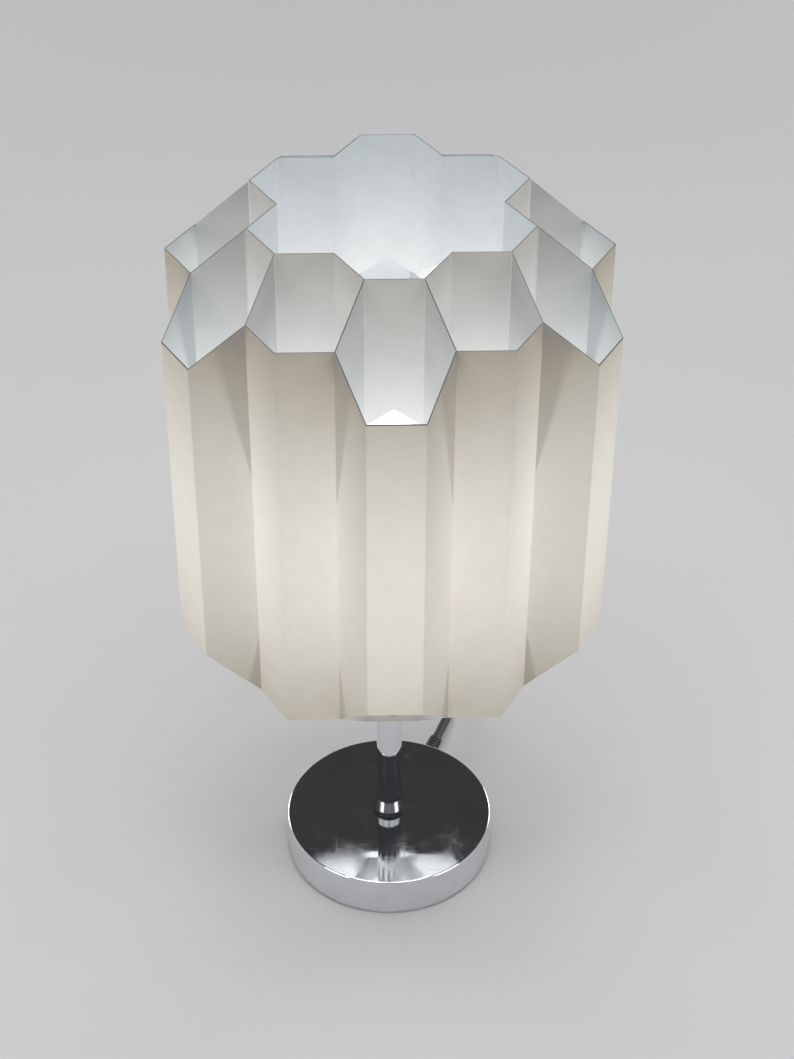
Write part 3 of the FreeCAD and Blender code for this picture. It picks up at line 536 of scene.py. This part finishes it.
def glowOf(tree, values, height, direct):
    level = addScaled(tree, values["curve"], height, values["slope"])
    level = addScaled(tree, level, height, values["level"])
    return addScaled(tree, values["direct"], direct, level)


# Paper whose emission is painted light: the bulb's glow through it, with painted shadows and shade.
def makePaper(values):
    material, tree, shader, where = newMaterial("lit_paper")
    light = useGroup(tree, shadeLightGroup, Place=where["Object"], Facing=where["Normal"])
    grain = useGroup(tree, grainGroup, Place=where["Object"], Size=values["grainSize"])
    glow = {kind: glowOf(tree, values[kind], light["Height"], light["Direct"])
            for kind in ("outside", "inward", "outward", "divider", "cell")}
    onWall = mixColour(tree, light["Inward"], glow["outward"], glow["inward"])
    inCell = mixColour(tree, light["Facing"], glow["divider"], glow["cell"])
    # Cell faces just under the bulb get extra glow: a painted pool of light.
    inCell = addScaled(tree, values["lowerCellGlow"], light["Below"], inCell)
    inside = mixColour(tree, light["Wall"], inCell, onWall)
    # Inside faces lose their glow towards the shade's lower rim: painted shade.
    inside = mixColour(tree, light["Lit"], (0.0, 0.0, 0.0), inside)
    level = mixColour(tree, light["Outside"], inside, glow["outside"])
    # The glow is scaled by the paper's random mottle, dimmed along the folds and put out on cut edges:
    # painted shade.
    mottleAndShade = calc(tree, "MULTIPLY", scaled(tree, grain["Mottle"], *noiseRange, *values["mottle"]),
                  scaled(tree, light["Crease"], 0.0, 1.0, 1.0, values["foldShade"]))
    mottleAndShade = calc(tree, "MULTIPLY", mottleAndShade, calc(tree, "SUBTRACT", 1.0, light["Edge"]))
    shown = tree.nodes.new("ShaderNodeVectorMath")
    shown.operation = "MAXIMUM"
    tree.links.new(level, shown.inputs[0])
    shown.inputs[1].default_value = (0.0, 0.0, 0.0)
    shadedGlow = addScaled(tree, shown.outputs[0], mottleAndShade, (0.0, 0.0, 0.0))
    tree.links.new(shadedGlow, shader.inputs["Emission Color"])
    shader.inputs["Emission Strength"].default_value = 1.0
    base = mixColour(tree, scaled(tree, grain["Mottle"], *noiseRange, 0.0, 1.0),
                     tuple(values["darker"] * part for part in values["base"]), values["base"])
    # Cut edges get a near-black colour and no glow: painted shade along the paper's thin edges.
    base = mixColour(tree, light["Edge"], base, values["shadedCutEdge"])
    tree.links.new(base, shader.inputs["Base Color"])
    rough = scaled(tree, grain["Height"], *noiseRange, *values["rough"])
    tree.links.new(rough, shader.inputs["Roughness"])
    shader.inputs["Specular IOR Level"].default_value = values["sheen"]
    tree.links.new(bump(tree, grain["Height"], *values["relief"]), shader.inputs["Normal"])
    material.cycles.emission_sampling = "NONE"
    return material


metalFinishes = {
    "chrome": {"colour": (0.80, 0.81, 0.83), "rough": 0.035, "smear": 0.10, "scratch": 0.10, "dust": 0.10},
    "satin_chrome": {"colour": (0.50, 0.51, 0.52), "rough": 0.16, "smear": 0.05, "scratch": 0.06,
                     "dust": 0.02},
    "nickel": {"colour": (0.72, 0.70, 0.65), "rough": 0.18, "smear": 0.12, "scratch": 0.15, "dust": 0.02},
    "brass": {"colour": (0.72, 0.55, 0.26), "rough": 0.25, "smear": 0.15, "scratch": 0.15, "dust": 0.0},
    "zinc_steel": {"colour": (0.58, 0.60, 0.62), "rough": 0.32, "smear": 0.16, "scratch": 0.15, "dust": 0.02},
}


metalWear = {
    "density": 1.0,
    "dustRough": 2.0,
    "dull": 0.88,
    "dustColour": (0.62, 0.60, 0.57),
    "relief": (0.06, 0.0001),
}


def makeMetal(name, values, wear):
    material, tree, shader, where = newMaterial(name)
    marks = useGroup(tree, handlingGroup, Place=where["Object"], Density=wear["density"])
    dust = useGroup(tree, dustGroup, Place=where["Object"], Facing=where["Normal"])["Dust"]
    rough = calc(tree, "MULTIPLY_ADD", marks["Smear"], values["smear"], values["rough"])
    rough = calc(tree, "MULTIPLY_ADD", marks["Scratch"], values["scratch"], rough)
    dusty = calc(tree, "MULTIPLY", dust, values["dust"])
    rough = calc(tree, "MULTIPLY_ADD", dusty, wear["dustRough"], rough)
    tree.links.new(rough, shader.inputs["Roughness"])
    dull = tuple(wear["dull"] * part for part in values["colour"])
    colour = mixColour(tree, marks["Smear"], values["colour"], dull)
    colour = mixColour(tree, dusty, colour, wear["dustColour"])
    tree.links.new(colour, shader.inputs["Base Color"])
    shader.inputs["Metallic"].default_value = 1.0
    tree.links.new(bump(tree, marks["Scratch"], *wear["relief"]), shader.inputs["Normal"])
    return material


plasticFinishes = {
    "black_plastic": {"colour": (0.030, 0.030, 0.032), "rough": 0.42, "grain": 0.0006, "depth": 0.18},
    "switch_plastic": {"colour": (0.030, 0.030, 0.032), "rough": 0.30, "grain": 0.0005, "depth": 0.10},
    "rocker_plastic": {"colour": (0.045, 0.045, 0.050), "rough": 0.24, "grain": 0.0005, "depth": 0.06},
    "cord_black": {"colour": (0.028, 0.028, 0.030), "rough": 0.46, "grain": 0.0004, "depth": 0.10},
    "holder_plastic": {"colour": (0.80, 0.80, 0.78), "rough": 0.34, "grain": 0.0007, "depth": 0.08},
    "bulb_plastic": {"colour": (0.84, 0.84, 0.82), "rough": 0.32, "grain": 0.0007, "depth": 0.06},
    "ceramic": {"colour": (0.76, 0.75, 0.71), "rough": 0.60, "grain": 0.0005, "depth": 0.25},
    "core_insulation": {"colour": (0.22, 0.26, 0.52), "rough": 0.45, "grain": 0.0005, "depth": 0.08},
    "white_steel": {"colour": (0.80, 0.80, 0.78), "rough": 0.36, "grain": 0.0009, "depth": 0.10},
    "rivet_paint": {"colour": (0.30, 0.30, 0.29), "rough": 0.50, "grain": 0.0005, "depth": 0.10},
    "cast_iron": {"colour": (0.16, 0.16, 0.17), "rough": 0.72, "grain": 0.0012, "depth": 0.70},
    "pad_rubber": {"colour": (0.050, 0.050, 0.054), "rough": 0.85, "grain": 0.0008, "depth": 0.60},
}


plasticWear = {
    "density": 1.6,
    "mottle": (0.90, 1.10),
    "dust": 0.10,
    "dustColour": (0.55, 0.54, 0.52),
    "smear": 0.10,
    "grainRough": 0.06,
    "grainDepth": 0.0002,
}


def makePlastic(name, values, wear):
    material, tree, shader, where = newMaterial(name)
    grain = useGroup(tree, grainGroup, Place=where["Object"], Size=values["grain"])
    marks = useGroup(tree, handlingGroup, Place=where["Object"], Density=wear["density"])
    dust = useGroup(tree, dustGroup, Place=where["Object"], Facing=where["Normal"])["Dust"]
    dark, pale = [tuple(min(1.0, share * part) for part in values["colour"]) for share in wear["mottle"]]
    colour = mixColour(tree, grain["Mottle"], dark, pale)
    colour = mixColour(tree, calc(tree, "MULTIPLY", dust, wear["dust"]), colour, wear["dustColour"])
    tree.links.new(colour, shader.inputs["Base Color"])
    rough = calc(tree, "MULTIPLY_ADD", marks["Smear"], wear["smear"], values["rough"])
    rough = calc(tree, "MULTIPLY_ADD", grain["Height"], wear["grainRough"], rough)
    tree.links.new(rough, shader.inputs["Roughness"])
    normal = bump(tree, grain["Height"], values["depth"], wear["grainDepth"])
    tree.links.new(normal, shader.inputs["Normal"])
    return material


globeFinish = {
    "base": (0.75, 0.74, 0.71),
    "bright": (1.0, 0.985, 0.95),
    "rim": (0.90, 0.87, 0.80),
    "seam": 0.2804,
    "under": 0.002,
    "fade": 0.016,
    "grain": 0.004,
    "mottle": 0.06,
    "darker": 0.96,
    "rough": (0.28, 0.36),
}


# The opal globe glows all over, a little less towards its collar.
def makeGlobe(values):
    material, tree, shader, where = newMaterial("opal_globe")
    split = tree.nodes.new("ShaderNodeSeparateXYZ")
    tree.links.new(where["Object"], split.inputs[0])
    low, high = values["seam"] - values["under"], values["seam"] + values["fade"]
    up = smooth(tree, split.outputs[2], low, high)
    grain = useGroup(tree, grainGroup, Place=where["Object"], Size=values["grain"])
    glow = mixColour(tree, up, values["rim"], values["bright"])
    glow = mixColour(tree, calc(tree, "MULTIPLY", grain["Mottle"], values["mottle"]), glow, values["rim"])
    tree.links.new(glow, shader.inputs["Emission Color"])
    shader.inputs["Emission Strength"].default_value = 1.0
    dark = tuple(values["darker"] * part for part in values["base"])
    tree.links.new(mixColour(tree, grain["Mottle"], dark, values["base"]), shader.inputs["Base Color"])
    rough = scaled(tree, grain["Height"], *noiseRange, *values["rough"])
    tree.links.new(rough, shader.inputs["Roughness"])
    return material


finishes = {"paper": makePaper(paperFinishAndGlow), "opal_globe": makeGlobe(globeFinish)}
for finishName, finishValues in metalFinishes.items():
    finishes[finishName] = makeMetal(finishName, finishValues, metalWear)
for finishName, finishValues in plasticFinishes.items():
    finishes[finishName] = makePlastic(finishName, finishValues, plasticWear)
print("finishes made:", len(finishes))

for part in frame["record"]["subparts"]:
    shown = nodes[part["node"]]
    for index in range(len(shown.material_slots)):
        shown.material_slots[index].link = "DATA"
        shown.data.materials[index] = finishes[part["material_slot"]]
    if len(shown.material_slots) == 0:
        shown.data.materials.append(finishes[part["material_slot"]])
for cordPiece in (leadCord, longCord):
    cordPiece.data.materials.append(finishes["cord_black"])


pinFinish = {
    "metal": metalFinishes["nickel"],
    "neck": plasticFinishes["black_plastic"],
    "bareFrom": 0.044,      # from the cord's end of the plug
    "edge": 0.00005,
    "smears": 2.0,
}


# Pins with black necks and bare metal ends: the distance along the plug decides which.
def makePins(values, start, heading):
    metal, neck = values["metal"], values["neck"]
    material, tree, shader, where = newMaterial("plug_pin_finish")
    along = tree.nodes.new("ShaderNodeVectorMath")
    along.operation = "DOT_PRODUCT"
    tree.links.new(where["Object"], along.inputs[0])
    along.inputs[1].default_value = (*heading, 0.0)
    border = float(np.dot(heading, start[:2])) + values["bareFrom"]
    bare = smooth(tree, along.outputs["Value"], border - values["edge"], border + values["edge"])
    marks = useGroup(tree, handlingGroup, Place=where["Object"], Density=values["smears"])
    tree.links.new(mixColour(tree, bare, neck["colour"], metal["colour"]), shader.inputs["Base Color"])
    tree.links.new(bare, shader.inputs["Metallic"])
    rough = mixValue(tree, bare, neck["rough"], metal["rough"])
    rough = calc(tree, "MULTIPLY_ADD", marks["Smear"], metal["smear"], rough)
    tree.links.new(rough, shader.inputs["Roughness"])
    return material


plugHeading = unitPlan(tailRoute[-2], tailRoute[-1])
plugStart = tailRoute[-1]
nodes["plug_pins"].data.materials[0] = makePins(pinFinish, plugStart, plugHeading)
nodes["carrier_rivets"].data.materials[0] = finishes["rivet_paint"]
nodes["stem_collar"].data.materials[0] = finishes["satin_chrome"]
print("nodes dressed")


sharpDegrees = 40
grooveSides = (0.1, 0.7)        # levels of a groove's cosine between which its sides lie


# Joins a grid of points by quads, round each station and on to the next. A ring's last station
# meets its first; otherwise flat faces close the two ends.
def gridPiece(name, points, ring, finish):
    turns, stations = points.shape[:2]
    index = np.arange(turns * stations).reshape(turns, stations)
    beside = np.roll(index, -1, axis=0)
    quads = np.stack([index, beside, np.roll(beside, -1, axis=1), np.roll(index, -1, axis=1)], axis=-1)
    if not ring:
        quads = quads[:, :-1]
    faces = quads.reshape(-1, 4).tolist()
    if not ring:
        faces += [index[::-1, 0].tolist(), index[:, -1].tolist()]
    mesh = bpy.data.meshes.new(name)
    mesh.from_pydata(points.reshape(-1, 3).tolist(), [], faces)
    mesh.shade_smooth()
    mesh.set_sharp_from_angle(angle=math.radians(sharpDegrees))
    mesh.materials.append(finishes[finish])
    piece = bpy.data.objects.new(name, mesh)
    bpy.context.scene.collection.objects.link(piece)
    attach(piece, "lamp")
    return piece


def directions(heading):
    along = np.array([heading[0], heading[1], 0.0])
    side = np.cross((0.0, 0.0, 1.0), along)
    return along, side, np.array([0.0, 0.0, 1.0])


def eased(value, low, high):
    share = np.clip((value - low) / (high - low), 0.0, 1.0)
    return share * share * (3.0 - 2.0 * share)


# Grooves between the ribs of a strain relief: a cosine of the distance along, cut to flat crests
# and flat grooves with eased sides.
def grooves(along, ribs):
    wave = np.cos(2.0 * np.pi * (along - ribs["first"]) / ribs["pitch"])
    inside = (along > ribs["first"] - ribs["pitch"] / 2) & (along < ribs["last"] + ribs["pitch"] / 2)
    return ribs["depth"] * eased(wave, *grooveSides) * inside


# An arc of points, from one angle to the other in degrees.
def corner(middle, radius, first, last, count=5):
    angle = np.radians(np.linspace(first, last, count))
    return np.column_stack([middle[0] + radius * np.cos(angle), middle[1] + radius * np.sin(angle)])


reliefShape = {
    "neckStart": 0.0383,
    "neckRadius": 0.005,
    "flange": (0.066, 0.068),
    "flangeRadius": 0.0065,
    "rounding": 0.0006,
    "tailEnd": 0.092,
    "tailRadius": 0.0042,
    "bore": 0.00302,
    "stations": 170,
    "turns": 40,
    "ribs": {"first": 0.0715, "last": 0.0880, "pitch": 0.00275, "depth": 0.00075},
}


# The gland is a closed profile of distances along the cord and radii, carried once round it: a
# plain neck in the base, a rounded flange against its wall, and a tapered tail with ribs.
def makeRelief(shape):
    along, side, up = directions(onHeading(1.0, 0.0)[:2])
    near, far = shape["flange"]
    easing = shape["rounding"]
    tail = np.linspace(far, shape["tailEnd"] - easing, shape["stations"])
    taper = np.interp(tail, [far, shape["tailEnd"]], [shape["neckRadius"], shape["tailRadius"]])
    profile = np.vstack([
        [[shape["neckStart"], shape["neckRadius"]], [near, shape["neckRadius"]],
         [near, shape["flangeRadius"]]],
        corner((far - easing, shape["flangeRadius"] - easing), easing, 90, 0),
        np.column_stack([tail, taper - grooves(tail, shape["ribs"])]),
        corner((shape["tailEnd"] - easing, shape["tailRadius"] - easing), easing, 90, 0),
        [[shape["tailEnd"], shape["bore"]], [shape["neckStart"], shape["bore"]]],
    ])
    angle = np.linspace(0, 2 * np.pi, shape["turns"], endpoint=False)[:, None, None]
    reach, radius = profile[None, :, :1], profile[None, :, 1:]
    points = reach * along + radius * (np.cos(angle) * side + np.sin(angle) * up)
    points = points + up * cordShape["exitHeight"]
    piece = gridPiece("cord_relief", points, True, "black_plastic")
    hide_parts("cord_gland")


plugShape = {
    "length": 0.034,
    "halfWidth": 0.0125,
    "halfThickness": 0.0068,
    "heel": 0.0046,
    "swell": (0.0085, 0.0185),
    "endRounding": 0.0018,
    "squareness": (2.0, 4.5),
    "ribs": {"first": 0.0018, "last": 0.0078, "pitch": 0.0024, "depth": 0.0007},
    "grip": {"first": 0.0205, "last": 0.0290, "pitch": 0.0017, "depth": 0.00035},
    "stations": 190,
    "endSteps": 8,
    "turns": 72,
}


# The plug is a loft along the cord's end: each section is a superellipse, whose sides are powers
# of the cosine and the sine, round at the cord and squarer where the plug is full.
def makePlug(shape):
    along, side, up = directions(plugHeading)
    easing = shape["endRounding"]
    turn = np.radians(np.linspace(0, 90, shape["endSteps"]))
    straight = np.linspace(0, shape["length"] - easing, shape["stations"])
    reach = np.concatenate([straight, shape["length"] - easing + easing * np.sin(turn[1:])])
    inset = np.concatenate([np.zeros(shape["stations"]), easing * (1 - np.cos(turn[1:]))])
    full = eased(reach, *shape["swell"])
    ribs = grooves(reach, shape["ribs"])
    width = shape["heel"] + (shape["halfWidth"] - shape["heel"]) * full
    width = width - ribs - inset - grooves(reach, shape["grip"])
    thickness = shape["heel"] + (shape["halfThickness"] - shape["heel"]) * full - ribs - inset
    power = 2.0 / (shape["squareness"][0] + (shape["squareness"][1] - shape["squareness"][0]) * full)
    angle = np.linspace(0, 2 * np.pi, shape["turns"], endpoint=False)[:, None]
    across = width * np.sign(np.cos(angle)) * np.abs(np.cos(angle)) ** power
    height = thickness * np.sign(np.sin(angle)) * np.abs(np.sin(angle)) ** power
    points = reach[None, :, None] * along + across[:, :, None] * side + height[:, :, None] * up
    piece = gridPiece("plug_grip", points + np.array(plugStart), False, "black_plastic")
    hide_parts("plug_body")
    return piece


makeRelief(reliefShape)
makePlug(plugShape)
print("relief and plug shaped")


stageLook = {
    "floorColour": (0.57, 0.57, 0.575),
    "background": (0.57, 0.57, 0.575),
    "upperRoom": (0.045, 0.045, 0.048),
    "floorRings": (0.5, 1.5, 4.0, 12.0),
    "floorTurns": 64,
    "floorRough": 0.75,
    "floorSheen": 0.2,
    "blendFrom": 0.9,
    "blendTo": 2.4,
    "paleUpTo": 0.22,       # height of a direction in the room, from 0 level to 1 straight up
    "darkFrom": 0.55,
}


# A flat disc: triangles round the middle, then rings of points joined by quads.
def makeFloor(look):
    rings, turns = look["floorRings"], look["floorTurns"]
    angle = np.linspace(0, 2 * np.pi, turns, endpoint=False)
    outer = [np.column_stack([r * np.cos(angle), r * np.sin(angle), np.zeros(turns)]) for r in rings]
    points = np.vstack([np.zeros((1, 3))] + outer)
    index = np.arange(turns)
    after = (index + 1) % turns
    faces = [(0, 1 + a, 1 + b) for a, b in zip(index, after)]
    for ring in range(len(rings) - 1):
        low = 1 + ring * turns
        high = low + turns
        faces += [(low + a, high + a, high + b, low + b) for a, b in zip(index, after)]
    mesh = bpy.data.meshes.new("studio_floor")
    mesh.from_pydata(points.tolist(), [], faces)
    floor = bpy.data.objects.new("studio_floor", mesh)
    bpy.context.scene.collection.objects.link(floor)
    material, tree, shader, where = newMaterial("floor_paint")
    shader.inputs["Roughness"].default_value = look["floorRough"]
    shader.inputs["Specular IOR Level"].default_value = look["floorSheen"]
    shader.inputs["Base Color"].default_value = (*look["floorColour"], 1.0)
    far = tree.nodes.new("ShaderNodeEmission")
    far.inputs["Color"].default_value = (*look["background"], 1.0)
    distance = tree.nodes.new("ShaderNodeVectorMath")
    distance.operation = "LENGTH"
    tree.links.new(where["Object"], distance.inputs[0])
    fade = smooth(tree, distance.outputs["Value"], look["blendFrom"], look["blendTo"])
    rays = tree.nodes.new("ShaderNodeLightPath").outputs
    seen = calc(tree, "MAXIMUM", rays["Is Camera Ray"],
                calc(tree, "MAXIMUM", rays["Is Glossy Ray"], rays["Is Transmission Ray"]))
    blend = tree.nodes.new("ShaderNodeMixShader")
    tree.links.new(calc(tree, "MULTIPLY", fade, seen), blend.inputs[0])
    tree.links.new(shader.outputs[0], blend.inputs[1])
    tree.links.new(far.outputs[0], blend.inputs[2])
    tree.links.new(blend.outputs[0], tree.nodes["Material Output"].inputs["Surface"])
    mesh.materials.append(material)


# The room: pale up to a low height and darker above, for every kind of ray.
def makeWorld(look):
    world = bpy.data.worlds.new("studio_room")
    world.use_nodes = True
    tree = world.node_tree
    where = tree.nodes.new("ShaderNodeTexCoord").outputs
    split = tree.nodes.new("ShaderNodeSeparateXYZ")
    tree.links.new(where["Generated"], split.inputs[0])
    height = smooth(tree, split.outputs[2], look["paleUpTo"], look["darkFrom"])
    colour = mixColour(tree, height, look["background"], look["upperRoom"])
    tree.links.new(colour, tree.nodes["Background"].inputs["Color"])
    tree.nodes["Background"].inputs["Strength"].default_value = 1.0
    bpy.context.scene.world = world


studioLamps = {
    "overhead": {"place": (0.0, -0.15, 2.5), "size": 2.2, "power": 54.0},
    "leftFront": {"place": (-2.3, -1.7, 0.75), "size": 1.3, "power": 23.0},
    "rightFront": {"place": (2.3, -1.5, 0.75), "size": 1.3, "power": 21.0},
    "leftBack": {"place": (-2.0, 2.0, 0.75), "size": 1.3, "power": 20.0},
    "rightBack": {"place": (2.0, 2.0, 0.75), "size": 1.3, "power": 20.0},
}
lampAim = (0, 0, 0.25)


def makeLamps(lamps):
    for name, values in lamps.items():
        data = bpy.data.lights.new(name, "AREA")
        data.shape = "SQUARE"
        data.size = values["size"]
        data.energy = values["power"]
        lamp = bpy.data.objects.new(name, data)
        lamp.location = values["place"]
        lamp.visible_camera = False
        aim = Vector(lampAim) - Vector(values["place"])
        lamp.rotation_euler = aim.to_track_quat("-Z", "Y").to_euler()
        bpy.context.scene.collection.objects.link(lamp)


makeFloor(stageLook)
makeWorld(stageLook)
makeLamps(studioLamps)
print("studio ready")
